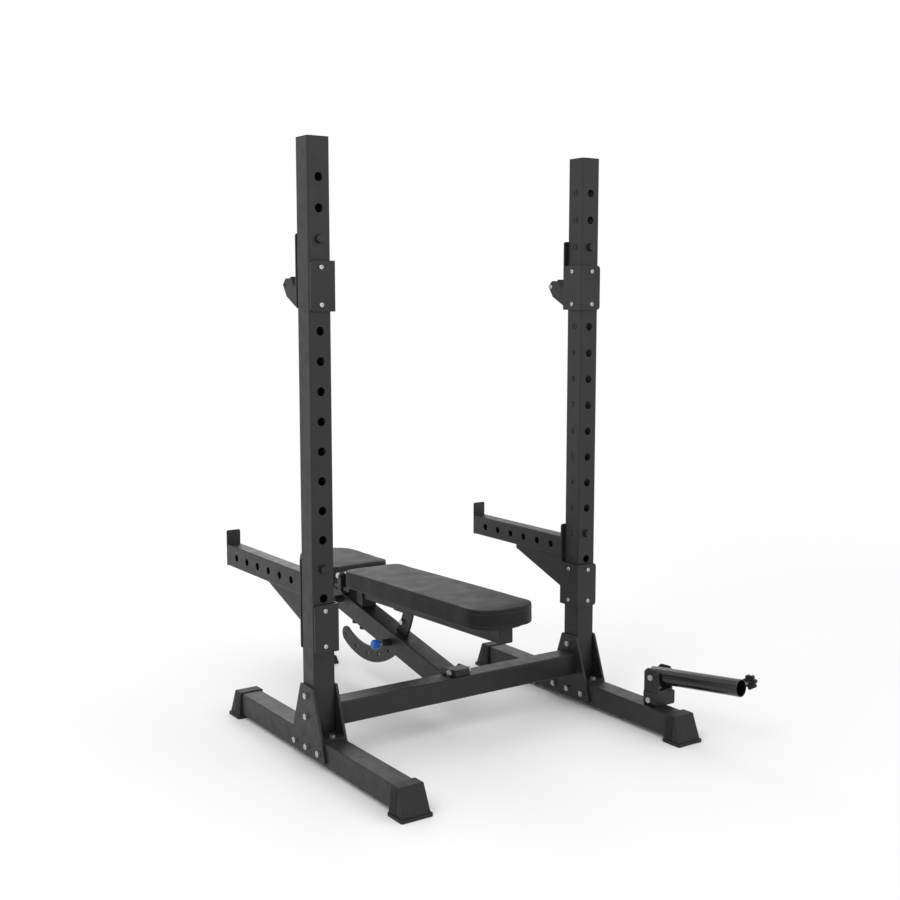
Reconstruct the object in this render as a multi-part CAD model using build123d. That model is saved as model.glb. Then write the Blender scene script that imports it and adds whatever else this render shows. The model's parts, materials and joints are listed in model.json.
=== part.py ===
from build123d import *
import os
from math import cos, sin, tan, radians

# Bench press rack: numbered uprights on ribbed feet, hooks, spotter arms, a landmine and an incline bench.
# Millimetres. X runs along the crossmember, +Y points to the lifter's feet, +Z is up.
# The origin is on the floor, midway between the uprights.

os.makedirs("parts", exist_ok=True)

# ---- driving dimensions: rack ----
TUBE = 75.0
WALL = 3.0
CORNER = 5.0
SPREAD = 1067.0
RACK_TOP = 1938.0
HOLE_PITCH = 92.0
HOLE_COUNT = 15
HOLE_LOW = 530.0
HOLE_DIA = 27.0
FLOOR_GAP = 14.0
FOOT_HALF = 497.0
PLATE = 8.0
CROSS_Z = 149.5

# ---- driving dimensions: fasteners ----
M12 = 12.0
M12_HOLE = 13.0
HEAD_AF = 19.0
HEAD_T = 8.0
BOLT_HIGH = (217.0, CROSS_Z)
BOLT_ROW = (-78.0, 0.0, 78.0)

# ---- driving dimensions: hooks and spotter arms ----
LINER = 4.0
STEEL = 6.0
SLACK = 1.0
HOOK_HOLE = 13
ARM_HOLE = 2
PIN_DIA = 25.0
WRAP_T = 153.0
SCREW_SPAN = 113.0
HOOK_W = 43.0
ARM_W = 50.0
ARM_H = 75.0
ARM_END = 625.0
ARM_HOLES = 6
ARM_PITCH = 82.0

# ---- driving dimensions: landmine ----
MINE_Y = -395.0
MINE_X = SPREAD / 2 + 22.0
MINE_YAW = 8.7
MINE_TILT = 5.3
MINE_Z = 187.0
MINE_BOLT_Z = 108.0
SLEEVE_OD = 57.0
SLEEVE_ID = 52.0
SLEEVE_L = 330.0
KNOB_REACH = 84.0

# ---- driving dimensions: bench ----
BEAM_SLOPE = 11.93
BEAM_Z0 = 139.6
BEAM_END = 955.0
POST = 50.0
POST_Y = 930.0
PIVOT_Y = 608.0
PIVOT_Z = 432.0
RECLINE = 1.52
PAD_W = 250.0
PAD_LOW = -39.5
PAD_HIGH = 24.0
BACK_L = 922.0
SEAT_L = 380.0
END_R = 90.0
PAD_GAP = 11.5
PAD_ROLL = 24.0
PAD_EAR_X = 28.0
PAD_EAR_Y = 40.0
BOARD_T = 9.0
BACK_TUBE = 50.0
SEAT_TUBE = 30.0
ARC_HOLE_R = 312.5
ARC_W = 59.0
ARC_FIRST = 223.5
ARC_STEP = 15.0
ARC_HOLES = 6
ARC_T = 8.0
ARC_TIP = 299.0
STOP_AT = (296.0, 207.5)
SEAT_ARC_R = 177.0
SEAT_ARC_W = 32.0
SEAT_FIRST = -44.1
SEAT_STEP = 6.0
SEAT_HOLES = 3
LOCK_DIA = 14.0
LOCK_HOLE = 16.0
HOUSING_L = 32.5
PIN_TRAVEL = 12.0

# ---- worked-out dimensions ----
HALF = TUBE / 2
FOOT_Z = FLOOR_GAP + HALF
FOOT_TOP = FLOOR_GAP + TUBE
POST_X = SPREAD / 2
HOOK_Z = HOLE_LOW + (HOOK_HOLE - 1) * HOLE_PITCH
ARM_PIN_Z = HOLE_LOW + (ARM_HOLE - 1) * HOLE_PITCH
LINE_IN = HALF + SLACK
PLATE_IN = LINE_IN + LINER
PLATE_OUT = PLATE_IN + STEEL
ARC_IN = ARC_HOLE_R - ARC_W / 2
ARC_OUT = ARC_HOLE_R + ARC_W / 2
LOCK_Y = PIVOT_Y + ARC_HOLE_R * cos(radians(ARC_FIRST))
LOCK_Z = PIVOT_Z + ARC_HOLE_R * sin(radians(ARC_FIRST))
SEAT_LOCK_Y = PIVOT_Y + SEAT_ARC_R * cos(radians(SEAT_FIRST))
SEAT_LOCK_Z = PIVOT_Z + SEAT_ARC_R * sin(radians(SEAT_FIRST))
EAR_STEEL = 6.0
EAR_OUTER = 112.0
EAR_BACK = 105.0
EAR_SEAT = 98.0
EAR_R = 12.0


# ---- small building blocks ----
def block(x0, x1, y0, y1, z0, z1):
    """A plain box between two corners."""
    centre = ((x0 + x1) / 2, (y0 + y1) / 2, (z0 + z1) / 2)
    return Pos(*centre) * Box(abs(x1 - x0), abs(y1 - y0), abs(z1 - z0))


def rod_x(x0, x1, y, z, dia):
    """A round bar along X."""
    return Pos((x0 + x1) / 2, y, z) * Rot(0, 90, 0) * Cylinder(dia / 2, abs(x1 - x0))


def rod_y(y0, y1, x, z, dia):
    """A round bar along Y."""
    return Pos(x, (y0 + y1) / 2, z) * Rot(90, 0, 0) * Cylinder(dia / 2, abs(y1 - y0))


def rod_z(z0, z1, x, y, dia):
    """A round bar along Z."""
    return Pos(x, y, (z0 + z1) / 2) * Cylinder(dia / 2, abs(z1 - z0))


def hex_x(x0, x1, y, z, across=HEAD_AF):
    """A hexagonal bolt head or nut along X."""
    face = RegularPolygon(across / 2, 6, major_radius=False)
    solid = extrude(face, abs(x1 - x0))
    return Pos(min(x0, x1), y, z) * Rot(0, 90, 0) * solid


def hex_z(z0, z1, x, y, across=HEAD_AF):
    """A hexagonal bolt head or nut along Z."""
    face = RegularPolygon(across / 2, 6, major_radius=False)
    return Pos(x, y, z0) * extrude(face, z1 - z0)


def side_plate(points, x0, x1, radius=0.0):
    """A flat plate drawn in the YZ plane, between two X positions."""
    face = Polygon(*points, align=None)
    if radius:
        face = fillet(face.vertices(), radius)
    return extrude(Plane.YZ.offset(min(x0, x1)) * face, abs(x1 - x0))


def square_tube(length, wide=TUBE, tall=TUBE, wall=WALL, corner=CORNER):
    """A hollow section along Z, standing on its end."""
    outer = RectangleRounded(wide, tall, corner)
    inner = RectangleRounded(wide - 2 * wall, tall - 2 * wall, corner - wall / 2)
    return extrude(outer - inner, length)


def tube_y(y0, y1, x, z, wide=TUBE, tall=TUBE, wall=WALL):
    """A hollow section along Y."""
    return Pos(x, y1, z) * Rot(90, 0, 0) * square_tube(y1 - y0, wide, tall, wall)


def tube_x(x0, x1, y, z, wide=TUBE, tall=TUBE, wall=WALL):
    """A hollow section along X."""
    return Pos(x0, y, z) * Rot(0, 90, 0) * square_tube(x1 - x0, tall, wide, wall)


def ring_sector(inner, outer, start, stop, x0, x1):
    """A curved strip about the bench pivot, from one angle to another."""
    mid = (start + stop) / 2
    reach = outer * 3
    wedge = Polygon(
        (0, 0),
        (reach * cos(radians(start)), reach * sin(radians(start))),
        (reach * cos(radians(mid)), reach * sin(radians(mid))),
        (reach * cos(radians(stop)), reach * sin(radians(stop))),
        align=None,
    )
    face = (Circle(outer) - Circle(inner)) & wedge
    return extrude(Plane.YZ.offset(x0) * (Pos(PIVOT_Y, PIVOT_Z) * face), x1 - x0)


def on_ring(radius, angle):
    """The (y, z) of a point at this radius and angle about the bench pivot."""
    return (PIVOT_Y + radius * cos(radians(angle)), PIVOT_Z + radius * sin(radians(angle)))


def pair(*shapes):
    """The shapes and their mirror images across the rack's middle."""
    return Compound([*shapes, *[mirror(shape, about=Plane.YZ) for shape in shapes]])


# ---- rack frame ----
def upright():
    """One right-hand upright with its row of accessory holes, seen with X measured from the rack's middle."""
    post = Pos(POST_X, 0, FOOT_TOP + PLATE) * square_tube(RACK_TOP - 3 - FOOT_TOP - PLATE)
    for index in range(HOLE_COUNT):
        post -= rod_y(-TUBE, TUBE, POST_X, HOLE_LOW + index * HOLE_PITCH, HOLE_DIA)
    for height in BOLT_HIGH:
        post -= rod_x(POST_X - TUBE, POST_X + TUBE, 0, height, M12_HOLE)
    return post


def upright_cap():
    """The plastic plug that closes an upright's top."""
    inner = TUBE - 2 * WALL - 0.6
    lid = Pos(POST_X, 0, RACK_TOP - 3) * extrude(RectangleRounded(TUBE, TUBE, CORNER), 3)
    plug = Pos(POST_X, 0, RACK_TOP - 28) * extrude(RectangleRounded(inner, inner, 4), 25)
    return lid + plug


def base_plate():
    """The flange under an upright, bolted down to the foot."""
    plate = block(POST_X - HALF, POST_X + HALF, -100, 100, FOOT_TOP, FOOT_TOP + PLATE)
    for y in (-82, 82):
        plate -= rod_z(FOOT_TOP - 1, FOOT_TOP + PLATE + 1, POST_X, y, M12_HOLE)
    return plate


def foot():
    """One floor tube along Y, drilled for the gusset row and the base plate."""
    tube = tube_y(-FOOT_HALF, FOOT_HALF, POST_X, FOOT_Z)
    for y in BOLT_ROW:
        tube -= rod_x(POST_X - TUBE, POST_X + TUBE, y, FOOT_Z, M12_HOLE)
    for y in (-82, 82):
        tube -= rod_z(FOOT_Z, FOOT_TOP + 1, POST_X, y, M12_HOLE)
    return tube


def foot_cap(end):
    """A ribbed, flared end cap. end is -1 at the head end of the rack and 1 at the foot end."""
    near = end * (FOOT_HALF - 1)
    skirt = 4.0
    top = FOOT_TOP + skirt
    rim = 10.0
    at_top = Pos(POST_X, end * (FOOT_HALF + 21), top) * Rectangle(TUBE + 2 * skirt, 44)
    at_rim = Pos(POST_X, end * (FOOT_HALF + 34), rim) * Rectangle(TUBE + 22, 70)
    cap = loft([at_rim, at_top])
    base = Pos(POST_X, end * (FOOT_HALF + 37), 0) * extrude(RectangleRounded(TUBE + 32, 80, 6), rim)
    cap = fillet(cap.edges().group_by(Axis.Z)[-1], 2.5) + base
    ribs = 11
    pitch = (top - rim - 10) / ribs
    for index in range(ribs):
        z = rim + 5 + index * pitch
        spread = (TUBE + 22 - (14.0 * (z - rim) / (top - rim))) / 2
        for side in (-1, 1):
            x = POST_X + side * (spread + 0.4)
            y0 = end * (FOOT_HALF + 4)
            y1 = end * (FOOT_HALF + 36)
            cap += block(x - 1.6, x + 1.2, y0, y1, z, z + pitch * 0.5)
    slot = TUBE + 0.4
    bore = Pos(POST_X, FOOT_HALF, FOOT_Z) * Rot(90, 0, 0) * extrude(RectangleRounded(slot, slot, CORNER), 2 * FOOT_HALF)
    return cap - bore


def gusset(x0):
    """A trapezoid joining plate, one face at x0, with two bolts up the post and three along the foot."""
    outline = [(-118, 26), (118, 26), (39, 250), (-39, 250)]
    plate = side_plate(outline, x0, x0 + PLATE, 7)
    for height in BOLT_HIGH:
        plate -= rod_x(x0 - 1, x0 + PLATE + 1, 0, height, M12_HOLE)
    for y in BOLT_ROW:
        plate -= rod_x(x0 - 1, x0 + PLATE + 1, y, FOOT_Z, M12_HOLE)
    return plate


def crossmember():
    """The tube between the inner gusset plates, bored for the clamp of the bench."""
    reach = POST_X - HALF - PLATE
    return tube_x(-reach, reach, 0, CROSS_Z)


def gusset_bolts():
    """Hexagon bolts right through gusset, tube and gusset."""
    outer = POST_X + HALF + PLATE
    inner = POST_X - HALF - PLATE
    bolts = []
    for y, z in [(0, h) for h in BOLT_HIGH] + [(y, FOOT_Z) for y in BOLT_ROW]:
        bolt = rod_x(inner - 13, outer, y, z, M12) + hex_x(outer, outer + HEAD_T, y, z)
        bolts += [bolt, mirror(bolt, about=Plane.YZ)]
    return Compound(bolts)


def gusset_nuts():
    """The nuts on the inner ends of the gusset bolts."""
    inner = POST_X - HALF - PLATE
    nuts = []
    for y, z in [(0, h) for h in BOLT_HIGH] + [(y, FOOT_Z) for y in BOLT_ROW]:
        nut = hex_x(inner - 10, inner, y, z) - rod_x(inner - 11, inner + 1, y, z, M12)
        nuts += [nut, mirror(nut, about=Plane.YZ)]
    return Compound(nuts)


# ---- hooks and spotter arms: drawn on the right upright, mirrored for the left ----
def wrap_bracket(pin_z, wrap_top, back_top, back_low):
    """The folded steel that hangs on a pin: back plate, inner side plate and near plate."""
    low = wrap_top - WRAP_T
    x_in = POST_X - PLATE_OUT
    x_out = POST_X + HALF
    back = block(x_in, x_out, PLATE_IN, PLATE_OUT, back_low, back_top)
    back = fillet(back.edges().filter_by(Axis.Y), 8)
    side = block(x_in, POST_X - PLATE_IN, -PLATE_OUT, PLATE_OUT, low, wrap_top)
    near = block(x_in, x_out, -PLATE_OUT, -PLATE_IN, low, wrap_top)
    near = fillet(near.edges().filter_by(Axis.Y).group_by(Axis.X)[-1], 12)
    bracket = back + side + near
    bracket = fillet(bracket.edges().filter_by(Axis.Z).group_by(Axis.X)[0].sort_by(Axis.Y)[0], 4)
    bracket -= rod_y(PLATE_IN - 1, PLATE_OUT + 1, POST_X, pin_z, PIN_DIA)
    for z in screw_heights(wrap_top):
        bracket -= rod_x(x_in - 1, POST_X - PLATE_IN + 1, 0, z, 6)
        bracket -= rod_y(-PLATE_OUT - 1, -PLATE_IN + 1, POST_X, z, 6)
    return bracket


def screw_heights(wrap_top):
    """The two heights of the liner screws."""
    high = wrap_top - (WRAP_T - SCREW_SPAN) / 2
    return (high, high - SCREW_SPAN)


def wrap_liner(wrap_top):
    """The plastic lining between the bracket and the upright."""
    low = wrap_top - WRAP_T + 4
    high = wrap_top - 4
    x_in = POST_X - PLATE_IN
    side = block(x_in, POST_X - LINE_IN, -PLATE_IN, PLATE_IN, low, high)
    near = block(x_in, POST_X + HALF - 6, -PLATE_IN, -LINE_IN, low, high)
    liner = side + near
    for z in screw_heights(wrap_top):
        liner -= rod_x(x_in - 1, POST_X - LINE_IN + 1, 0, z, 6)
        liner -= rod_y(-PLATE_IN - 1, -LINE_IN + 1, POST_X, z, 6)
    return liner


def wrap_pin(pin_z):
    """The round pin that passes through the upright and takes the load."""
    pin = rod_y(-PLATE_OUT - 4, PLATE_OUT, POST_X, pin_z, PIN_DIA)
    return chamfer(pin.edges().group_by(Axis.Y)[0], 2.5)


def button_screw_x(x_face, y, z, depth):
    """A button-head screw pointing along +X from the face at x_face."""
    head = rod_x(x_face - 3.5, x_face, y, z, 15)
    head = fillet(head.edges().group_by(Axis.X)[0], 2.5) - hex_x(x_face - 3.6, x_face - 1.5, y, z, 6)
    return head + rod_x(x_face, x_face + depth, y, z, 5.9)


def button_screw_y(y_face, x, z, depth):
    """A button-head screw pointing along +Y from the face at y_face."""
    turned = Rot(0, 0, 90) * button_screw_x(0, 0, 0, depth)
    return Pos(x, y_face, z) * turned


def wrap_screws(wrap_top):
    """Four screws that hold the lining."""
    depth = STEEL + LINER - 0.5
    screws = []
    for z in screw_heights(wrap_top):
        screws.append(button_screw_x(POST_X - PLATE_OUT, 0, z, depth))
        screws.append(button_screw_y(-PLATE_OUT, POST_X, z, depth))
    return screws


def hook_profile():
    """The hook's side view: floor of the saddle, lip, nose and slanted underside."""
    z = HOOK_Z - 64
    return [
        (PLATE_OUT, z - WRAP_T + 12),
        (84, z - WRAP_T + 16),
        (141, z - 107),
        (165, z - 70),
        (146, z - 51),
        (116, z - 51),
        (98, z - 79),
        (PLATE_OUT, z - 79),
    ]


def hook_body():
    """The forged hook welded to the back plate."""
    x0 = POST_X - HOOK_W / 2
    body = side_plate(hook_profile(), x0, x0 + HOOK_W)
    return body - rod_x(x0 - 1, x0 + HOOK_W + 1, 150, HOOK_Z - 136, 8)


def hook_saddle():
    """The plastic saddle that the bar rests on."""
    z = HOOK_Z - 64
    x0 = POST_X - HOOK_W / 2
    outline = [
        (PLATE_OUT, z - 79),
        (98, z - 79),
        (116, z - 51),
        (111, z - 46),
        (94, z - 71),
        (PLATE_OUT + 6, z - 71),
        (PLATE_OUT + 6, z + 50),
        (PLATE_OUT, z + 50),
    ]
    return side_plate(outline, x0, x0 + HOOK_W)


def hook_screws():
    """Four lining screws and the cross-screw in the hook's nose."""
    x0 = POST_X - HOOK_W / 2
    screws = wrap_screws(HOOK_Z - 64)
    screws.append(button_screw_x(x0, 150, HOOK_Z - 136, HOOK_W - 4))
    return Compound(screws)


def arm_tube():
    """The spotter arm with its row of side holes."""
    z = ARM_PIN_Z - 62
    arm = tube_y(PLATE_OUT, ARM_END - STEEL, POST_X, z, ARM_W, ARM_H)
    for index in range(ARM_HOLES):
        arm -= rod_x(POST_X - ARM_W, POST_X + ARM_W, 134 + index * ARM_PITCH, z, 25)
    return arm


def arm_stop():
    """The end plate that stands above the arm and keeps the bar from rolling off."""
    z = ARM_PIN_Z - 62 - ARM_H / 2
    plate = block(POST_X - ARM_W / 2, POST_X + ARM_W / 2, ARM_END - STEEL, ARM_END, z, z + 124)
    return fillet(plate.edges().filter_by(Axis.Y).group_by(Axis.Z)[-1], 6)


def arm_gusset():
    """The triangular plate under the arm."""
    z = ARM_PIN_Z - 62 - ARM_H / 2
    outline = [(PLATE_OUT, z), (355, z), (355, z - 15), (PLATE_OUT, z - 127)]
    return side_plate(outline, POST_X - 5, POST_X + 5)


# ---- landmine ----
def mine_place(shape):
    """Turns a shape drawn about the swivel axis, pointing along -Y, into its place."""
    return Pos(MINE_X, MINE_Y, 0) * Rot(0, 0, MINE_YAW) * shape


def mine_tilted(shape):
    """Turns a shape drawn about the yoke pin, pointing along -Y, into its place."""
    return mine_place(Pos(0, 0, MINE_Z) * Rot(-MINE_TILT, 0, 0) * shape)


def mine_bracket():
    """The hollow box welded across the right foot, which carries the swivel."""
    top = 137.0
    x0 = MINE_X - 40
    x1 = MINE_X + 48
    box = block(x0, x1, MINE_Y - 30, MINE_Y + 30, FOOT_TOP, top)
    box = fillet(box.edges().filter_by(Axis.Y), 7)
    box -= block(x0 + 5, x1 - 5, MINE_Y - 25, MINE_Y + 25, FOOT_TOP + 5, top - 5)
    box -= rod_x(x0 - 1, x0 + 6, MINE_Y, MINE_BOLT_Z, M12_HOLE)
    return box - rod_z(FOOT_TOP + 10, top + 1, MINE_X, MINE_Y, M12_HOLE)


def mine_bolts():
    """The bolt in the bracket's inner side and the swivel bolt in its top."""
    x0 = MINE_X - 40
    side = rod_x(x0, x0 + 16, MINE_Y, MINE_BOLT_Z, M12) + hex_x(x0 - HEAD_T, x0, MINE_Y, MINE_BOLT_Z)
    side += hex_x(x0 + 5, x0 + 15, MINE_Y, MINE_BOLT_Z)
    swivel = rod_z(122, 144, MINE_X, MINE_Y, M12) + hex_z(143.8, 149, MINE_X, MINE_Y)
    swivel += hex_z(122, 132, MINE_X, MINE_Y)
    return [side, swivel]


def mine_yoke():
    """The folded U that swivels on the bracket and carries the sleeve's cross-pin."""
    floor = block(-39, 39, -30, 30, 137.4, 143.4)
    cheeks = []
    for side in (-1, 1):
        outline = [(-30, 137.4), (30, 137.4), (30, 204), (18, 216), (-18, 216), (-30, 204)]
        cheeks.append(side_plate(outline, side * 33, side * 39, 4))
    yoke = floor + cheeks[0] + cheeks[1]
    yoke -= rod_z(130, 150, 0, 0, M12 + 0.1)
    yoke -= rod_x(-40, 40, 0, MINE_Z, M12)
    return mine_place(yoke)


def mine_pin():
    """The cross-bolt through the yoke and the sleeve."""
    bolt = rod_x(-39, 49, 0, MINE_Z, M12) + hex_x(-47, -39, 0, MINE_Z)
    bolt += hex_x(39, 48, 0, MINE_Z)
    return mine_place(bolt)


def mine_sleeve():
    """The open tube that takes one end of the bar, with the threaded boss of the clamp screw."""
    tube = rod_y(-SLEEVE_L, 22, 0, 0, SLEEVE_OD) - rod_y(-SLEEVE_L - 1, -40, 0, 0, SLEEVE_ID)
    tube -= rod_y(-41, 30, 0, 0, SLEEVE_ID - 10)
    hub = rod_x(-30, 30, 0, 0, 26) & rod_y(-30, 22, 0, 0, SLEEVE_OD - 1)
    boss = rod_x(SLEEVE_OD / 2 - 2, SLEEVE_OD / 2 + 12, -SLEEVE_L + 21, 0, 22)
    sleeve = tube + hub + boss
    sleeve -= rod_x(-40, 40, 0, 0, M12 + 0.1)
    sleeve -= rod_x(SLEEVE_ID / 2 - 6, SLEEVE_OD, -SLEEVE_L + 21, 0, 10.1)
    return mine_tilted(sleeve)


def mine_screw():
    """The clamp screw's shank, which reaches the bar inside the sleeve."""
    shank = rod_x(SLEEVE_ID / 2 + 0.5, KNOB_REACH + 2, -SLEEVE_L + 21, 0, 10)
    return mine_tilted(shank)


def mine_knob():
    """The seven-lobed star knob on the clamp screw."""
    face = Circle(18)
    for index in range(7):
        face += Rot(0, 0, index * 360 / 7) * Pos(18.5, 0) * Circle(6.2)
    star = fillet(extrude(face, 15).edges().group_by(Axis.Z)[-1], 2)
    star += Pos(0, 0, -9) * Cylinder(10, 9, align=(Align.CENTER, Align.CENTER, Align.MIN))
    star -= Pos(0, 0, -10) * Cylinder(5.05, 20, align=(Align.CENTER, Align.CENTER, Align.MIN))
    return mine_tilted(Pos(KNOB_REACH - 8, -SLEEVE_L + 21, 0) * Rot(0, 90, 0) * star)


# ---- bench frame ----
def beam_z(y):
    """The height of the beam's centre line at y."""
    return BEAM_Z0 + y * tan(radians(BEAM_SLOPE))


def beam():
    """The sloping main beam from the crossmember to the front post, slotted for both arc plates."""
    length = BEAM_END / cos(radians(BEAM_SLOPE)) + 120
    raw = Pos(0, -60, beam_z(-60)) * Rot(BEAM_SLOPE, 0, 0) * Pos(0, length, 0) * Rot(90, 0, 0) * square_tube(length)
    body = raw & block(-TUBE, TUBE, HALF, BEAM_END, 0, 600)
    body -= ring_sector(ARC_IN - 4, ARC_OUT + 4, 185, 268, -7, 7)
    body -= ring_sector(SEAT_ARC_R - 20, SEAT_ARC_R + 20, -66, -20, -7, 7)
    body -= rod_x(-TUBE, -10, LOCK_Y, LOCK_Z, LOCK_DIA + 4)
    body -= rod_x(-TUBE, -10, SEAT_LOCK_Y, SEAT_LOCK_Z, LOCK_DIA + 4)
    return body


def clamp_lug():
    """The block on top of the crossmember that the beam's fork bolts to."""
    top = CROSS_Z + HALF
    lug = block(-29, 29, -28, 28, top, top + 22)
    lug = fillet(lug.edges().filter_by(Axis.X).group_by(Axis.Z)[-1], 6)
    return lug - rod_x(-40, 40, -5, top + 12, M12_HOLE)


def beam_fork():
    """Two tongues welded on the beam, one each side of the lug."""
    top = CROSS_Z + HALF
    under = beam_z(0) + HALF / cos(radians(BEAM_SLOPE))
    rise = tan(radians(BEAM_SLOPE))
    outline = [
        (-20, top + 1),
        (HALF + 2, top + 1),
        (HALF + 2, under + rise * (HALF + 2) - 30),
        (76, under + rise * 76 - 12),
        (60, under + rise * 60),
        (HALF + 2, top + 22),
        (-12, top + 22),
        (-20, top + 15),
    ]
    tongue = side_plate(outline, 29, 35) - rod_x(0, 50, -5, top + 12, M12_HOLE)
    return pair(tongue)


def cross_bolt():
    """The bolt through fork and lug."""
    z = CROSS_Z + HALF + 12
    bolt = rod_x(-35, 48, -5, z, M12) + hex_x(-43, -35, -5, z) + hex_x(35, 45, -5, z)
    return bolt


def frame_bolts():
    """Base-plate bolts, landmine bolts and the bench cross-bolt, all of the same zinc-plated kind."""
    bolts = []
    for y in (-82, 82):
        bolt = rod_z(FOOT_TOP - 16, FOOT_TOP + PLATE, POST_X, y, M12)
        bolt += hex_z(FOOT_TOP + PLATE, FOOT_TOP + PLATE + HEAD_T, POST_X, y)
        bolt += hex_z(FOOT_TOP - WALL - 10, FOOT_TOP - WALL, POST_X, y)
        bolts += [bolt, mirror(bolt, about=Plane.YZ)]
    bolts += mine_bolts()
    bolts.append(cross_bolt())
    return Compound(bolts)


def front_post():
    """The post under the beam's foot end."""
    under = beam_z(POST_Y) - HALF / cos(radians(BEAM_SLOPE))
    post = Pos(0, POST_Y, 8) * square_tube(400, POST, POST)
    below = [(900, -10), (1010, -10), (1010, beam_z(1010)), (900, beam_z(900))]
    drop = HALF / cos(radians(BEAM_SLOPE))
    below = [(y, z - (drop if z > 0 else 0)) for y, z in below]
    return post & side_plate(below, -60, 60)


def front_foot():
    """The flared rubber foot on the front post."""
    at_floor = Pos(0, POST_Y, 0) * RectangleRounded(78, 78, 8)
    at_top = Pos(0, POST_Y, 30) * RectangleRounded(64, 64, 8)
    foot_pad = loft([at_floor, at_top])
    return foot_pad - (Pos(0, POST_Y, 8) * extrude(RectangleRounded(POST + 0.4, POST + 0.4, CORNER), 60))


def hinge_cradle():
    """The riser on the beam, its crossbar and the two outer hinge ears."""
    reach = 20
    low = PIVOT_Z - 66
    top = PIVOT_Z - 57
    drop = HALF / cos(radians(BEAM_SLOPE))
    outline = [
        (PIVOT_Y - reach, beam_z(PIVOT_Y - reach) + drop),
        (PIVOT_Y + reach, beam_z(PIVOT_Y + reach) + drop),
        (PIVOT_Y + reach, low),
        (PIVOT_Y - reach, low),
    ]
    outer = EAR_OUTER + EAR_STEEL
    cradle = side_plate(outline, -30, 30) + block(-outer, outer, PIVOT_Y - reach, PIVOT_Y + reach, low, top)
    for side in (-1, 1):
        x0 = side * EAR_OUTER
        cradle += rod_x(x0, side * outer, PIVOT_Y, PIVOT_Z, 2 * EAR_R)
        cradle += block(x0, side * outer, PIVOT_Y - EAR_R, PIVOT_Y + EAR_R, low, PIVOT_Z)
    return cradle - rod_x(-200, 200, PIVOT_Y, PIVOT_Z, M12 + 0.1)


def hinge_bolts():
    """The two pivot bolts that backrest and seat share."""
    outer = EAR_OUTER + EAR_STEEL
    bolt = rod_x(EAR_SEAT - 12, outer, PIVOT_Y, PIVOT_Z, M12)
    bolt += hex_x(outer, outer + HEAD_T, PIVOT_Y, PIVOT_Z)
    bolt += hex_x(EAR_SEAT - 11, EAR_SEAT - 1, PIVOT_Y, PIVOT_Z)
    return pair(bolt)


def hinge_ears(end, ear_x):
    """Cross plate and two ears that carry a pad frame to the pivot. end is -1 for the backrest."""
    low = PIVOT_Z - 54.7
    outer = ear_x + EAR_STEEL
    ears = block(-outer, outer, PIVOT_Y + end * 14, PIVOT_Y + end * 60, low, low + EAR_STEEL)
    for side in (-1, 1):
        x0 = side * ear_x
        x1 = side * outer
        ears += rod_x(x0, x1, PIVOT_Y, PIVOT_Z, 2 * EAR_R)
        ears += block(x0, x1, PIVOT_Y - EAR_R, PIVOT_Y + EAR_R, low, PIVOT_Z)
        ears += block(x0, x1, PIVOT_Y, PIVOT_Y + end * 60, low, low + 14)
    return ears - rod_x(-200, 200, PIVOT_Y, PIVOT_Z, M12 + 0.1)


def pull_pin(y, z):
    """A spring pin along X on the beam's left side, drawn just clear of the plate that it locks."""
    tip = -ARC_T / 2 - 1
    mouth = -HALF - HOUSING_L
    pin = rod_x(mouth - PIN_TRAVEL - 10, tip, y, z, LOCK_DIA)
    return pin + rod_x(mouth + 17, mouth + 20, y, z, 18.5)


def pull_knob(y, z):
    """The round knob of a pull pin, far enough out to let the pin go home."""
    face = -HALF - HOUSING_L - PIN_TRAVEL - 1
    knob = rod_x(face - 28, face, y, z, 36)
    knob = fillet(knob.edges(), 8)
    return knob - rod_x(face - 9, face + 1, y, z, LOCK_DIA)


def pin_housings():
    """The housings that guide both pull pins, welded to the beam's left side."""
    mouth = -HALF - HOUSING_L
    shells = []
    for y, z in ((LOCK_Y, LOCK_Z), (SEAT_LOCK_Y, SEAT_LOCK_Z)):
        shell = rod_x(mouth, -HALF, y, z, 27) - rod_x(mouth - 1, -HALF + 1, y, z, LOCK_DIA + 0.1)
        shell -= rod_x(mouth + 5, -HALF + 1, y, z, 20)
        shells.append(shell)
    return Compound(shells)


def pin_springs():
    """The coil springs between each pin's collar and the shoulder of its housing."""
    path = Helix(pitch=2.4, height=9.6, radius=8.6)
    coil = sweep(Plane(origin=path @ 0, z_dir=path % 0) * Circle(0.7), path)
    coil = Pos(-HALF - HOUSING_L + 6.2, 0, 0) * Rot(0, 90, 0) * coil
    return Compound([Pos(0, LOCK_Y, LOCK_Z) * coil, Pos(0, SEAT_LOCK_Y, SEAT_LOCK_Z) * coil])


# ---- backrest: drawn level about the pivot, then leaned back ----
def leaned(shape):
    """Lifts the head end by the backrest's resting slope."""
    return Pos(0, PIVOT_Y, PIVOT_Z) * Rot(-RECLINE, 0, 0) * Pos(0, -PIVOT_Y, -PIVOT_Z) * shape


def back_frame():
    """The backrest's spine tube with its crossbar and hinge ears."""
    top = PIVOT_Z + PAD_LOW - BOARD_T
    spine = tube_y(PIVOT_Y - BACK_L + 48, PIVOT_Y - 24, 0, top - BACK_TUBE / 2, BACK_TUBE, BACK_TUBE)
    flange = block(-20, 20, PIVOT_Y - 335, PIVOT_Y - 225, top - BACK_TUBE - 5, top - BACK_TUBE)
    return leaned(spine + hinge_ears(-1, EAR_BACK) + flange)


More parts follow.
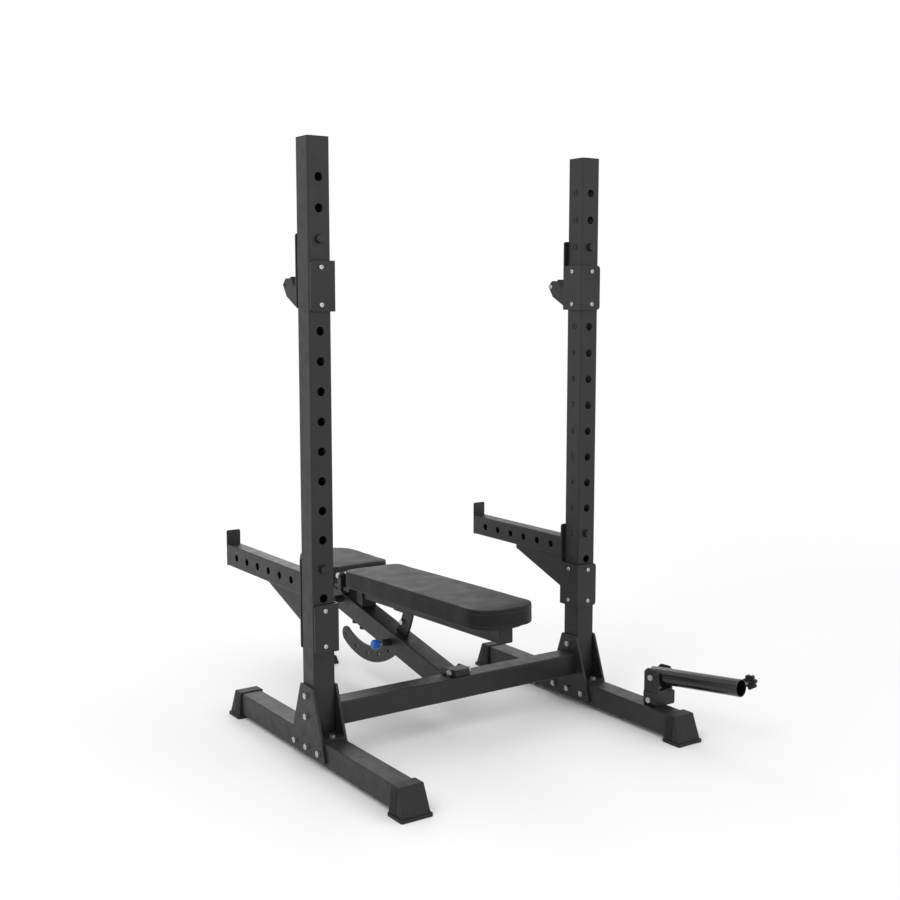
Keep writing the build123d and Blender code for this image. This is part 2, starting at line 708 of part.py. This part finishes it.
def back_cap():
    """The plastic plug in the head end of the spine tube."""
    top = PIVOT_Z + PAD_LOW - BOARD_T
    y = PIVOT_Y - BACK_L + 48
    lid = block(-BACK_TUBE / 2, BACK_TUBE / 2, y - 6, y, top - BACK_TUBE, top)
    lid = fillet(lid.edges().filter_by(Axis.Y), CORNER)
    inner = BACK_TUBE / 2 - WALL - 0.2
    plug = block(-inner + 2, inner - 2, y, y + 22, top - BACK_TUBE + 5.5, top - 5.5)
    return leaned(lid + plug)


def back_arc():
    """The curved ladder plate under the backrest, with six lock holes and the stop-bolt hole."""
    plate = ring_sector(ARC_IN, ARC_OUT, 188, ARC_TIP, -ARC_T / 2, ARC_T / 2)
    tip_y, tip_z = on_ring(ARC_HOLE_R, ARC_TIP)
    plate += rod_x(-ARC_T / 2, ARC_T / 2, tip_y, tip_z, ARC_W)
    for index in range(ARC_HOLES):
        y, z = on_ring(ARC_HOLE_R, ARC_FIRST + index * ARC_STEP)
        plate -= rod_x(-TUBE, TUBE, y, z, LOCK_HOLE)
    y, z = on_ring(*STOP_AT)
    plate -= rod_x(-TUBE, TUBE, y, z, M12)
    low = PIVOT_Z + PAD_LOW - BOARD_T - BACK_TUBE - 5
    plate -= leaned(block(-20, 20, -400, PIVOT_Y + 50, low, low + 300))
    return plate


def stop_bolt():
    """The bolt in the arc plate that stops the backrest at level."""
    y, z = on_ring(*STOP_AT)
    bolt = rod_x(-ARC_T / 2, 18, y, z, M12) + hex_x(-ARC_T / 2 - HEAD_T, -ARC_T / 2, y, z)
    return bolt + hex_x(ARC_T / 2, ARC_T / 2 + 10, y, z)


def pad_shape(length):
    """A level pad about the pivot: hinge end narrowed beside the ears and rolled on top, far end round."""
    half = PAD_W / 2
    outline = [
        (-half + PAD_EAR_X, PAD_GAP),
        (half - PAD_EAR_X, PAD_GAP),
        (half, PAD_GAP + PAD_EAR_Y),
        (half, length),
        (-half, length),
        (-half, PAD_GAP + PAD_EAR_Y),
    ]
    face = Polygon(*outline, align=None)
    face = fillet(face.vertices().group_by(Axis.Y)[-1], END_R)
    pad = Pos(0, 0, PAD_LOW) * extrude(face, PAD_HIGH - PAD_LOW)
    roll = block(-half, half, PAD_GAP, PAD_GAP + PAD_ROLL, PAD_HIGH - PAD_ROLL, PAD_HIGH)
    roll -= rod_x(-half, half, PAD_GAP + PAD_ROLL, PAD_HIGH - PAD_ROLL, 2 * PAD_ROLL)
    return pad - roll


def back_pad():
    """The backrest's upholstered foam pad."""
    return leaned(Pos(0, PIVOT_Y, PIVOT_Z) * Rot(0, 0, 180) * pad_shape(BACK_L))


def back_board():
    """The plywood board under the backrest pad."""
    y1 = PIVOT_Y - 16
    top = PIVOT_Z + PAD_LOW
    board = block(-90, 90, PIVOT_Y - BACK_L + 30, y1, top - BOARD_T, top)
    board = fillet(board.edges().filter_by(Axis.Z).group_by(Axis.Y)[0], 70)
    return leaned(board)


def seat_frame():
    """The seat's tube with its crossbar, hinge ears and short arc plate."""
    top = PIVOT_Z + PAD_LOW - BOARD_T
    spine = tube_y(PIVOT_Y + 30, PIVOT_Y + 208, 0, top - SEAT_TUBE / 2, BACK_TUBE, SEAT_TUBE)
    ears = hinge_ears(1, EAR_SEAT)
    last = SEAT_FIRST - (SEAT_HOLES - 1) * SEAT_STEP
    half_w = SEAT_ARC_W / 2
    arc = ring_sector(SEAT_ARC_R - half_w, SEAT_ARC_R + half_w, last - 4, -8, -ARC_T / 2, ARC_T / 2)
    arc -= block(-20, 20, PIVOT_Y, PIVOT_Y + SEAT_L, top - SEAT_TUBE, top + 50)
    for index in range(SEAT_HOLES):
        y, z = on_ring(SEAT_ARC_R, SEAT_FIRST - index * SEAT_STEP)
        arc -= rod_x(-TUBE, TUBE, y, z, LOCK_HOLE)
    return spine + ears + arc


def seat_pad():
    """The seat's upholstered foam pad."""
    return Pos(0, PIVOT_Y, PIVOT_Z) * pad_shape(SEAT_L)


def seat_board():
    """The plywood board under the seat pad."""
    top = PIVOT_Z + PAD_LOW
    board = block(-88, 88, PIVOT_Y + 16, PIVOT_Y + SEAT_L - 30, top - BOARD_T, top)
    return fillet(board.edges().filter_by(Axis.Z).group_by(Axis.Y)[-1], 66)


# ---- the list of nodes ----
def both_sides(name, shape):
    """One node for the right side and its mirror image for the left."""
    return {name + "_right": shape, name + "_left": mirror(shape, about=Plane.YZ)}


hook_top = HOOK_Z - 64
arm_top = ARM_PIN_Z - 110
outer_face = POST_X + HALF
inner_face = POST_X - HALF - PLATE

nodes = {}
nodes.update(both_sides("upright", upright()))
nodes["base_plates"] = pair(base_plate())
nodes["upright_caps"] = pair(upright_cap())
nodes.update(both_sides("floor_tube", foot()))
nodes["head_foot_caps"] = pair(foot_cap(-1))
nodes["rear_foot_caps"] = pair(foot_cap(1))
nodes["gusset_plates"] = pair(gusset(outer_face), gusset(inner_face))
nodes["crossmember"] = crossmember()
nodes["gusset_bolts"] = gusset_bolts()
nodes["gusset_nuts"] = gusset_nuts()
nodes["frame_bolts"] = frame_bolts()

hook_back_low = hook_top - WRAP_T + 9
hook_wrap = wrap_bracket(HOOK_Z, hook_top, HOOK_Z + 20, hook_back_low)
nodes.update(both_sides("hook_bracket", hook_wrap + hook_body()))
nodes.update(both_sides("hook_pin", wrap_pin(HOOK_Z)))
nodes.update(both_sides("hook_liner", wrap_liner(hook_top)))
nodes.update(both_sides("hook_saddle", hook_saddle()))
nodes.update(both_sides("hook_screws", hook_screws()))

nodes.update(both_sides("arm_bracket", wrap_bracket(ARM_PIN_Z, arm_top, ARM_PIN_Z + 27, arm_top - WRAP_T)))
nodes.update(both_sides("arm_tube", arm_tube() + arm_stop() + arm_gusset()))
nodes.update(both_sides("arm_pin", wrap_pin(ARM_PIN_Z)))
nodes.update(both_sides("arm_liner", wrap_liner(arm_top)))
nodes.update(both_sides("arm_screws", Compound(wrap_screws(arm_top))))

nodes["landmine_bracket"] = mine_bracket()
nodes["landmine_yoke"] = mine_yoke()
nodes["landmine_pin"] = mine_pin()
nodes["landmine_sleeve"] = mine_sleeve()
nodes["landmine_screw"] = mine_screw()
nodes["landmine_knob"] = mine_knob()

nodes["bench_beam"] = beam() + beam_fork()
nodes["bench_lug"] = clamp_lug()
nodes["front_post"] = front_post()
nodes["front_foot"] = front_foot()
nodes["hinge_cradle"] = hinge_cradle()
nodes["hinge_bolts"] = hinge_bolts()
nodes["pin_housings"] = pin_housings()
nodes["pin_springs"] = pin_springs()
nodes["back_lock_pin"] = pull_pin(LOCK_Y, LOCK_Z)
nodes["back_lock_knob"] = pull_knob(LOCK_Y, LOCK_Z)
nodes["seat_lock_pin"] = pull_pin(SEAT_LOCK_Y, SEAT_LOCK_Z)
nodes["seat_lock_knob"] = pull_knob(SEAT_LOCK_Y, SEAT_LOCK_Z)
nodes["back_frame"] = back_frame()
nodes["back_cap"] = back_cap()
nodes["back_arc"] = back_arc()
nodes["back_stop_bolt"] = stop_bolt()
nodes["back_board"] = back_board()
nodes["back_pad"] = back_pad()
nodes["seat_frame"] = seat_frame()
nodes["seat_board"] = seat_board()
nodes["seat_pad"] = seat_pad()

for name, shape in nodes.items():
    export_step(shape, f"parts/{name}.step")
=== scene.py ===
import bmesh
import bpy
import json
import math
import numpy as np
from mathutils import Matrix, Vector


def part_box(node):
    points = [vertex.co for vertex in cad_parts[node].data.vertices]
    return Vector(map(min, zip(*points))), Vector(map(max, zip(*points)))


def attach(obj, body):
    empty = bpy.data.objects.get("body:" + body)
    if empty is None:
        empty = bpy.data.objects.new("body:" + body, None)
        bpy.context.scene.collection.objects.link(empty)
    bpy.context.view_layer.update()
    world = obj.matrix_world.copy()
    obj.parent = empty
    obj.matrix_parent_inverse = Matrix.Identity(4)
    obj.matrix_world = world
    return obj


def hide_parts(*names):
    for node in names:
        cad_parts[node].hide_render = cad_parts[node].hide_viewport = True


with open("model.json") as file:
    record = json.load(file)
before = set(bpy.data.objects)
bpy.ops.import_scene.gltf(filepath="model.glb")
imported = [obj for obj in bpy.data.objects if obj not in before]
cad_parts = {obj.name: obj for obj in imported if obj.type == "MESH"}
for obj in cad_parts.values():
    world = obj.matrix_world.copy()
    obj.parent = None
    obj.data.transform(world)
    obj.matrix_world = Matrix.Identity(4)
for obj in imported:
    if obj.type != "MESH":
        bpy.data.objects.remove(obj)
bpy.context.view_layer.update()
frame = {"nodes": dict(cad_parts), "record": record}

NODES = frame["nodes"]

# The looks of a squat and press rack with an adjustable bench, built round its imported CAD.
# Lengths are in metres and tilts in degrees.

# ---- upholstery sizes ----
BACK_TILT = 1.52
SEAT_TILT = 0.0
FOAM_VOXEL = 0.005
FOAM_PULL = 0.0015
FOAM_PRESSURE = 4.0
FOAM_SWELL = 0.006
FOAM_FRAMES = 20
FOAM_AVERAGING = 60
VINYL_STIFFNESS = 30
SEAM_HEIGHTS = (("upper", 0.0175), ("lower", -0.0215))
SEAM_SINK = -0.0002
SEAM_RADIUS = 0.0009
SEAM_POINTS = 360

# ---- rack and bench sizes ----
HOLE_COUNT = 15
HOLE_LOW = 0.530
HOLE_PITCH = 0.092
NUMBER_SIZE = 0.030
NUMBER_DEPTH = 0.0001
NUMBER_PROUD = 0.0002
BEAM_LEVEL = 0.1396
BEAM_RISE = 0.2113
BEAM_UNDER = 0.0383
BUMPER_X = -0.022
BUMPER_Y = (0.600, 0.655)
BUMPER_BASE = 0.013
BUMPER_TIP = 0.011
BUMPER_HEIGHT = 0.014
BUMPER_ROUND = 0.003
BUMPER_HANG = 0.006

# ---- studio sizes ----
FLOOR_RADIUS = 8
FADE_START = 1.7
FADE_END = 5.2
LAMP_AIM = (0, 0.1, 0.8)
LAMPS = (
    ("key", (-3.6, -1.8, 4.2), 2.6, 60),
    ("fill", (2.4, -4.6, 3.0), 3.0, 22),
    ("rim", (1.5, 4.6, 3.6), 2.6, 45),
)
EYE = (-2.361, -3.409, 1.455)
EYE_TILT = 83.13
EYE_TURN = -34.34


# ---- materials ----
def new_material(name, color, roughness, metallic=0.0, gloss=0.5):
    """A new material, with its node tree and its Principled shader."""
    material = bpy.data.materials.new(name)
    material.use_nodes = True
    tree = material.node_tree
    shader = tree.nodes["Principled BSDF"]
    shader.inputs["Base Color"].default_value = (*color, 1)
    shader.inputs["Roughness"].default_value = roughness
    shader.inputs["Metallic"].default_value = metallic
    shader.inputs["Specular IOR Level"].default_value = gloss
    return material, tree, shader


def noise(tree, scale, detail=3.0):
    """A noise texture in the object's own coordinates."""
    place = tree.nodes.new("ShaderNodeTexCoord")
    texture = tree.nodes.new("ShaderNodeTexNoise")
    texture.inputs["Scale"].default_value = scale
    texture.inputs["Detail"].default_value = detail
    tree.links.new(place.outputs["Object"], texture.inputs["Vector"])
    return texture.outputs["Fac"]


def ramp(tree, source, low, high):
    """Stretches the middle of a 0 to 1 value over the range low to high."""
    node = tree.nodes.new("ShaderNodeMapRange")
    node.inputs["From Min"].default_value = 0.3
    node.inputs["From Max"].default_value = 0.7
    node.inputs["To Min"].default_value = low
    node.inputs["To Max"].default_value = high
    tree.links.new(source, node.inputs["Value"])
    return node.outputs["Result"]


def tint(tree, shader, source, dark, light):
    """Varies the base colour between two close tones."""
    mix = tree.nodes.new("ShaderNodeMix")
    mix.data_type = "RGBA"
    mix.inputs["A"].default_value = (*dark, 1)
    mix.inputs["B"].default_value = (*light, 1)
    tree.links.new(ramp(tree, source, 0.0, 1.0), mix.inputs["Factor"])
    tree.links.new(mix.outputs["Result"], shader.inputs["Base Color"])


def bump(tree, shader, source, height, edge=0.0):
    """Adds fine relief, over softened edges when edge is the radius of their rounding."""
    node = tree.nodes.new("ShaderNodeBump")
    node.inputs["Strength"].default_value = 1.0
    node.inputs["Distance"].default_value = height
    tree.links.new(source, node.inputs["Height"])
    if edge:
        rounding = tree.nodes.new("ShaderNodeBevel")
        rounding.samples = 4
        rounding.inputs["Radius"].default_value = edge
        tree.links.new(rounding.outputs["Normal"], node.inputs["Normal"])
    tree.links.new(node.outputs["Normal"], shader.inputs["Normal"])


def powder_coat():
    """Fine-textured satin powder coat, near-black grey."""
    material, tree, shader = new_material("powder_coat", (0.013, 0.0135, 0.0145), 0.42, gloss=0.34)
    patches = noise(tree, 9.0)
    tint(tree, shader, patches, (0.0115, 0.012, 0.013), (0.0150, 0.0155, 0.0165))
    tree.links.new(ramp(tree, noise(tree, 26.0), 0.36, 0.50), shader.inputs["Roughness"])
    bump(tree, shader, noise(tree, 900.0, 2.0), 0.00012, 0.0016)
    return material


def gloss_coat():
    """Glossy black paint of the landmine sleeve."""
    material, tree, shader = new_material("gloss_coat", (0.006, 0.006, 0.0065), 0.22, gloss=0.4)
    shader.inputs["Coat Weight"].default_value = 0.3
    shader.inputs["Coat Roughness"].default_value = 0.12
    tree.links.new(ramp(tree, noise(tree, 30.0), 0.18, 0.3), shader.inputs["Roughness"])
    bump(tree, shader, noise(tree, 240.0), 0.00006, 0.0008)
    return material


def vinyl():
    """Black upholstery vinyl with a fine pebbled grain."""
    material, tree, shader = new_material("vinyl", (0.0040, 0.0040, 0.0044), 0.46, gloss=0.22)
    place = tree.nodes.new("ShaderNodeTexCoord")
    cells = tree.nodes.new("ShaderNodeTexVoronoi")
    cells.feature = "DISTANCE_TO_EDGE"
    cells.inputs["Scale"].default_value = 620.0
    cells.inputs["Randomness"].default_value = 0.9
    tree.links.new(place.outputs["Object"], cells.inputs["Vector"])
    crease = tree.nodes.new("ShaderNodeMapRange")
    crease.inputs["From Max"].default_value = 0.25
    tree.links.new(cells.outputs["Distance"], crease.inputs["Value"])
    tint(tree, shader, noise(tree, 7.0), (0.0034, 0.0034, 0.0038), (0.0048, 0.0048, 0.0052))
    tree.links.new(ramp(tree, noise(tree, 14.0), 0.40, 0.54), shader.inputs["Roughness"])
    bump(tree, shader, crease.outputs["Result"], 0.00012)
    return material


def zinc():
    """Bright zinc plating on bolts, nuts and screws."""
    material, tree, shader = new_material("zinc", (0.62, 0.63, 0.65), 0.32, 1.0)
    tint(tree, shader, noise(tree, 120.0), (0.36, 0.37, 0.385), (0.56, 0.57, 0.59))
    tree.links.new(ramp(tree, noise(tree, 200.0), 0.24, 0.42), shader.inputs["Roughness"])
    bump(tree, shader, noise(tree, 700.0), 0.00004, 0.0006)
    return material


def moulded(name, dark, light, low, high, grain=1100.0, depth=0.00008):
    """Moulded plastic or rubber with a light grain."""
    material, tree, shader = new_material(name, dark, low, gloss=0.35)
    tint(tree, shader, noise(tree, 18.0), dark, light)
    tree.links.new(ramp(tree, noise(tree, 40.0), low, high), shader.inputs["Roughness"])
    bump(tree, shader, noise(tree, grain, 2.0), depth, 0.0010)
    return material


def painted_wood():
    """Black-painted plywood with a faint grain."""
    material, tree, shader = new_material("painted_wood", (0.012, 0.012, 0.012), 0.7)
    place = tree.nodes.new("ShaderNodeTexCoord")
    stretch = tree.nodes.new("ShaderNodeMapping")
    stretch.inputs["Scale"].default_value = (60.0, 3.0, 60.0)
    grain = tree.nodes.new("ShaderNodeTexNoise")
    tree.links.new(place.outputs["Object"], stretch.inputs["Vector"])
    tree.links.new(stretch.outputs["Vector"], grain.inputs["Vector"])
    tint(tree, shader, grain.outputs["Fac"], (0.006, 0.006, 0.006), (0.012, 0.0115, 0.011))
    bump(tree, shader, grain.outputs["Fac"], 0.0002)
    return material


def thread():
    """Black sewing thread, a little lighter than the vinyl."""
    material, tree, shader = new_material("thread", (0.010, 0.010, 0.011), 0.65)
    tint(tree, shader, noise(tree, 500.0), (0.008, 0.008, 0.009), (0.014, 0.014, 0.015))
    bump(tree, shader, noise(tree, 2400.0), 0.0001)
    return material


def marking():
    """Dark ink of the hole numbers."""
    material, tree, shader = new_material("marking", (0.0015, 0.0015, 0.0015), 0.5, gloss=0.1)
    tint(tree, shader, noise(tree, 160.0), (0.0010, 0.0010, 0.0010), (0.0022, 0.0022, 0.0022))
    return material


FINISH = {
    "satin_frame": powder_coat(),
    "gloss_sleeve": gloss_coat(),
    "zinc": zinc(),
    "spring_steel": zinc(),
    "vinyl": vinyl(),
    "plywood": painted_wood(),
    "black_plastic": moulded("black_plastic", (0.009, 0.0092, 0.0097), (0.012, 0.0122, 0.0128), 0.5, 0.62),
    "black_rubber": moulded("black_rubber", (0.010, 0.010, 0.0105), (0.014, 0.014, 0.0145), 0.72, 0.85),
    "blue_plastic": moulded(
        "blue_plastic", (0.012, 0.095, 0.42), (0.018, 0.125, 0.50), 0.26, 0.36, grain=500.0, depth=0.00004
    ),
}
THREAD = thread()
MARKING = marking()


def paint_frame():
    """Gives every CAD node its finish, with smooth curved faces and crisp edges."""
    for part in frame["record"]["subparts"]:
        mesh = NODES[part["node"]].data
        mesh.materials.clear()
        mesh.materials.append(FINISH[part["material_slot"]])
        mesh.polygons.foreach_set("use_smooth", [True] * len(mesh.polygons))
        mesh.set_sharp_from_angle(angle=math.radians(32))


# ---- small helpers ----
def add_object(name, data, material, body):
    """Links an object, gives it a finish and lets it ride on its body."""
    thing = bpy.data.objects.new(name, data)
    bpy.context.scene.collection.objects.link(thing)
    data.materials.append(material)
    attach(thing, body)
    return thing


def baked(thing):
    """The object's mesh with its modifiers applied."""
    bpy.context.view_layer.update()
    graph = bpy.context.evaluated_depsgraph_get()
    return bpy.data.meshes.new_from_object(thing.evaluated_get(graph), depsgraph=graph)


def closed_bar(points, radius):
    """A thin round bar through points and back to the first."""
    curve = bpy.data.curves.new("bar", "CURVE")
    curve.dimensions = "3D"
    curve.bevel_depth = radius
    curve.bevel_resolution = 4
    line = curve.splines.new("POLY")
    line.points.add(len(points) - 1)
    for place, point in zip(line.points, points):
        place.co = (*point, 1)
    line.use_cyclic_u = True
    return curve


# ---- upholstery ----
def spread_evenly(mesh, values, rounds):
    """Averages each point's value with its neighbours', so that taut vinyl shows no ripples."""
    pairs = np.array([edge.vertices[:] for edge in mesh.edges])
    count = np.bincount(pairs.ravel(), minlength=len(values))[:, None]
    for _ in range(rounds):
        total = np.zeros_like(values)
        np.add.at(total, pairs[:, 0], values[pairs[:, 1]])
        np.add.at(total, pairs[:, 1], values[pairs[:, 0]])
        values = 0.5 * values + 0.5 * total / count
    return values


def even_shell(mesh):
    """An object with the closed mesh rebuilt in small even faces and drawn in a little."""
    shell = bpy.data.objects.new("shell", mesh)
    bpy.context.scene.collection.objects.link(shell)
    voxel = shell.modifiers.new("remesh", "REMESH")
    voxel.mode = "VOXEL"
    voxel.voxel_size = FOAM_VOXEL
    even = baked(shell)
    shell.modifiers.clear()
    shell.data = even
    for vertex in even.vertices:
        vertex.co -= vertex.normal * FOAM_PULL
    return shell


def swell(shell):
    """Blows the shell up as cloth under pressure: no point moves further than FOAM_SWELL."""
    even = shell.data
    before = [vertex.co.copy() for vertex in even.vertices]
    cloth = shell.modifiers.new("cloth", "CLOTH")
    cloth.settings.use_pressure = True
    cloth.settings.uniform_pressure_force = FOAM_PRESSURE
    cloth.settings.tension_stiffness = VINYL_STIFFNESS
    cloth.settings.compression_stiffness = VINYL_STIFFNESS
    cloth.settings.effector_weights.gravity = 0
    cloth.point_cache.frame_start = 1
    cloth.point_cache.frame_end = FOAM_FRAMES
    for step in range(1, FOAM_FRAMES + 1):
        bpy.context.scene.frame_set(step)
    swollen = baked(shell)
    bpy.context.scene.frame_set(1)
    shell.modifiers.clear()
    moves = np.array([new.co - old for new, old in zip(swollen.vertices, before)])
    moves *= np.minimum(1, FOAM_SWELL / np.maximum(np.linalg.norm(moves, axis=1), 1e-9))[:, None]
    moves = spread_evenly(even, moves, FOAM_AVERAGING)
    for vertex, old, move in zip(even.vertices, before, moves):
        vertex.co = old + Vector(move)


def inflate(mesh):
    """The closed mesh swollen like foam under tight vinyl."""
    shell = even_shell(mesh)
    swell(shell)
    relax = shell.modifiers.new("relax", "SMOOTH")
    relax.factor = 0.5
    relax.iterations = 6
    fine = shell.modifiers.new("fine", "SUBSURF")
    fine.levels = 1
    fine.render_levels = 1
    result = baked(shell)
    bpy.data.objects.remove(shell)
    result.polygons.foreach_set("use_smooth", [True] * len(result.polygons))
    return result


def in_order(edges):
    """The points of a closed chain of edges, one after the other."""
    links = {}
    for edge in edges:
        a, b = edge.verts
        links.setdefault(a, []).append(b)
        links.setdefault(b, []).append(a)
    start = next(iter(links))
    loop = [start]
    previous, current = None, start
    while len(loop) <= len(links):
        ahead = [vertex for vertex in links[current] if vertex is not previous]
        if not ahead or ahead[0] is start:
            break
        previous, current = current, ahead[0]
        loop.append(current)
    return [vertex.co.copy() for vertex in loop]


def evenly_spaced(points, steps):
    """Points at equal distances round a closed line."""
    lengths = [0.0]
    for a, b in zip(points, points[1:] + points[:1]):
        lengths.append(lengths[-1] + (b - a).length)
    spaced = []
    index = 0
    for step in range(steps):
        target = lengths[-1] * step / steps
        while lengths[index + 1] < target:
            index += 1
        a = points[index]
        b = points[(index + 1) % len(points)]
        share = (target - lengths[index]) / max(lengths[index + 1] - lengths[index], 1e-9)
        spaced.append(a.lerp(b, share))
    return spaced


def rim_points(mesh, centre, level, height):
    """Points just inside a pad's rim, where a plane square to level cuts it at a height over centre."""
    pad = bmesh.new()
    pad.from_mesh(mesh)
    cut = bmesh.ops.bisect_plane(
        pad,
        geom=pad.verts[:] + pad.edges[:] + pad.faces[:],
        plane_co=centre + level.normalized() * height,
        plane_no=level,
        clear_outer=True,
        clear_inner=True,
    )
    edges = [item for item in cut["geom_cut"] if isinstance(item, bmesh.types.BMEdge)]
    spaced = evenly_spaced(in_order(edges), SEAM_POINTS)
    pad.free()
    middle = sum(spaced, Vector()) / len(spaced)
    sunk = []
    for point in spaced:
        out = point - middle
        out -= level * out.dot(level)
        sunk.append(point + out.normalized() * SEAM_SINK)
    return sunk


def cushion(name, node, body, tilt):
    """An upholstered pad in place of its plain solid, with sewn seams round its edges."""
    level_turn = Matrix.Rotation(tilt, 4, "X")
    raw = NODES[node].data.copy()
    raw.transform(level_turn)
    mesh = inflate(raw)
    mesh.transform(level_turn.inverted())
    mesh.materials.clear()
    pad = add_object(name, mesh, FINISH["vinyl"], body)
    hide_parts(node)
    low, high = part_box(node)
    centre = (low + high) / 2
    level = Vector((0, math.sin(tilt), math.cos(tilt)))
    for label, height in SEAM_HEIGHTS:
        bead = closed_bar(rim_points(mesh, centre, level, height), SEAM_RADIUS)
        add_object(f"{name}_{label}_seam", bead, THREAD, body)


# ---- markings on the uprights ----
def number_mesh(number):
    """The flat digits of a number, upright in their own plane."""
    text = bpy.data.curves.new("number", "FONT")
    text.body = str(number)
    text.size = NUMBER_SIZE
    text.extrude = NUMBER_DEPTH
    text.align_x = "CENTER"
    text.align_y = "CENTER"
    holder = bpy.data.objects.new("number_text", text)
    bpy.context.scene.collection.objects.link(holder)
    mesh = baked(holder)
    bpy.data.objects.remove(holder)
    return mesh


def hole_numbers():
    """Plain numbers level with the holes, on the inner face of each upright."""
    for side, label in ((1, "right"), (-1, "left")):
        low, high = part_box(f"upright_{label}")
        face_x = (low if side > 0 else high).x - side * NUMBER_PROUD
        across = Vector((0, -side, 0))
        turn = Matrix((across, (0, 0, 1), (-side, 0, 0))).transposed().to_4x4()
        for index in range(HOLE_COUNT):
            mesh = number_mesh(index + 1)
            mesh.transform(Matrix.Translation((face_x, 0, HOLE_LOW + index * HOLE_PITCH)) @ turn)
            add_object(f"number_{label}_{index + 1:02d}", mesh, MARKING, "frame")


def beam_bumpers():
    """Two rubber buttons on the beam's left lower edge."""
    for index, along in enumerate(BUMPER_Y):
        puck = bmesh.new()
        bmesh.ops.create_cone(
            puck, cap_ends=True, segments=32, radius1=BUMPER_BASE, radius2=BUMPER_TIP, depth=BUMPER_HEIGHT
        )
        rim = [edge for edge in puck.edges if len(edge.link_faces) == 2 and edge.calc_face_angle() > 1.0]
        bmesh.ops.bevel(puck, geom=rim, offset=BUMPER_ROUND, segments=3, affect="EDGES")
        under = BEAM_LEVEL + BEAM_RISE * along - BEAM_UNDER - BUMPER_HANG
        puck.transform(Matrix.Translation((BUMPER_X, along, under)))
        mesh = bpy.data.meshes.new("bumper")
        puck.to_mesh(mesh)
        puck.free()
        mesh.polygons.foreach_set("use_smooth", [True] * len(mesh.polygons))
        mesh.set_sharp_from_angle(angle=math.radians(40))
        add_object(f"beam_bumper_{index + 1}", mesh, FINISH["black_rubber"], "frame")


# ---- studio ----
def floor_paper():
    """Pale matt paper that fades out into the background."""
    material, tree, shader = new_material("floor_paper", (0.84, 0.84, 0.845), 0.9, gloss=0.08)
    place = tree.nodes.new("ShaderNodeTexCoord")
    reach = tree.nodes.new("ShaderNodeVectorMath")
    reach.operation = "LENGTH"
    fade = tree.nodes.new("ShaderNodeMapRange")
    fade.interpolation_type = "SMOOTHSTEP"
    fade.inputs["From Min"].default_value = FADE_START
    fade.inputs["From Max"].default_value = FADE_END
    clear = tree.nodes.new("ShaderNodeBsdfTransparent")
    mix = tree.nodes.new("ShaderNodeMixShader")
    tree.links.new(place.outputs["Object"], reach.inputs[0])
    tree.links.new(reach.outputs["Value"], fade.inputs["Value"])
    tree.links.new(fade.outputs["Result"], mix.inputs["Fac"])
    tree.links.new(shader.outputs["BSDF"], mix.inputs[1])
    tree.links.new(clear.outputs["BSDF"], mix.inputs[2])
    tree.links.new(mix.outputs["Shader"], tree.nodes["Material Output"].inputs["Surface"])
    return material


def studio_floor():
    """A round sheet of floor paper."""
    turns = [math.radians(a) for a in range(0, 360, 5)]
    rim = [(FLOOR_RADIUS * math.cos(turn), FLOOR_RADIUS * math.sin(turn), 0) for turn in turns]
    sheet = bpy.data.meshes.new("floor")
    sheet.from_pydata(rim, [], [list(range(len(rim)))])
    sheet.materials.append(floor_paper())
    floor = bpy.data.objects.new("floor", sheet)
    bpy.context.scene.collection.objects.link(floor)


def studio_lights():
    """A white surround and three soft lamps."""
    world = bpy.data.worlds.new("studio")
    bpy.context.scene.world = world
    world.use_nodes = True
    world.node_tree.nodes["Background"].inputs["Color"].default_value = (1, 1, 1, 1)
    world.node_tree.nodes["Background"].inputs["Strength"].default_value = 1.0
    for name, place, size, power in LAMPS:
        lamp = bpy.data.lights.new(name, "AREA")
        lamp.shape = "DISK"
        lamp.size = size
        lamp.energy = power
        holder = bpy.data.objects.new(name, lamp)
        bpy.context.scene.collection.objects.link(holder)
        holder.location = place
        aim = Vector(LAMP_AIM) - Vector(place)
        holder.rotation_euler = aim.to_track_quat("-Z", "Y").to_euler()


def camera():
    """The viewpoint, low on the left of the head end."""
    lens = bpy.data.cameras.new("camera")
    lens.lens = 50.14
    lens.sensor_width = 36.0
    lens.clip_end = 60.0
    eye = bpy.data.objects.new("camera", lens)
    bpy.context.scene.collection.objects.link(eye)
    eye.location = EYE
    eye.rotation_euler = (math.radians(EYE_TILT), 0, math.radians(EYE_TURN))
    bpy.context.scene.camera = eye


paint_frame()
cushion("backrest_cushion", "back_pad", "backrest", math.radians(BACK_TILT))
cushion("seat_cushion", "seat_pad", "seat", math.radians(SEAT_TILT))
hole_numbers()
beam_bumpers()
studio_floor()
studio_lights()
camera()
bpy.context.scene.view_settings.view_transform = "Standard"
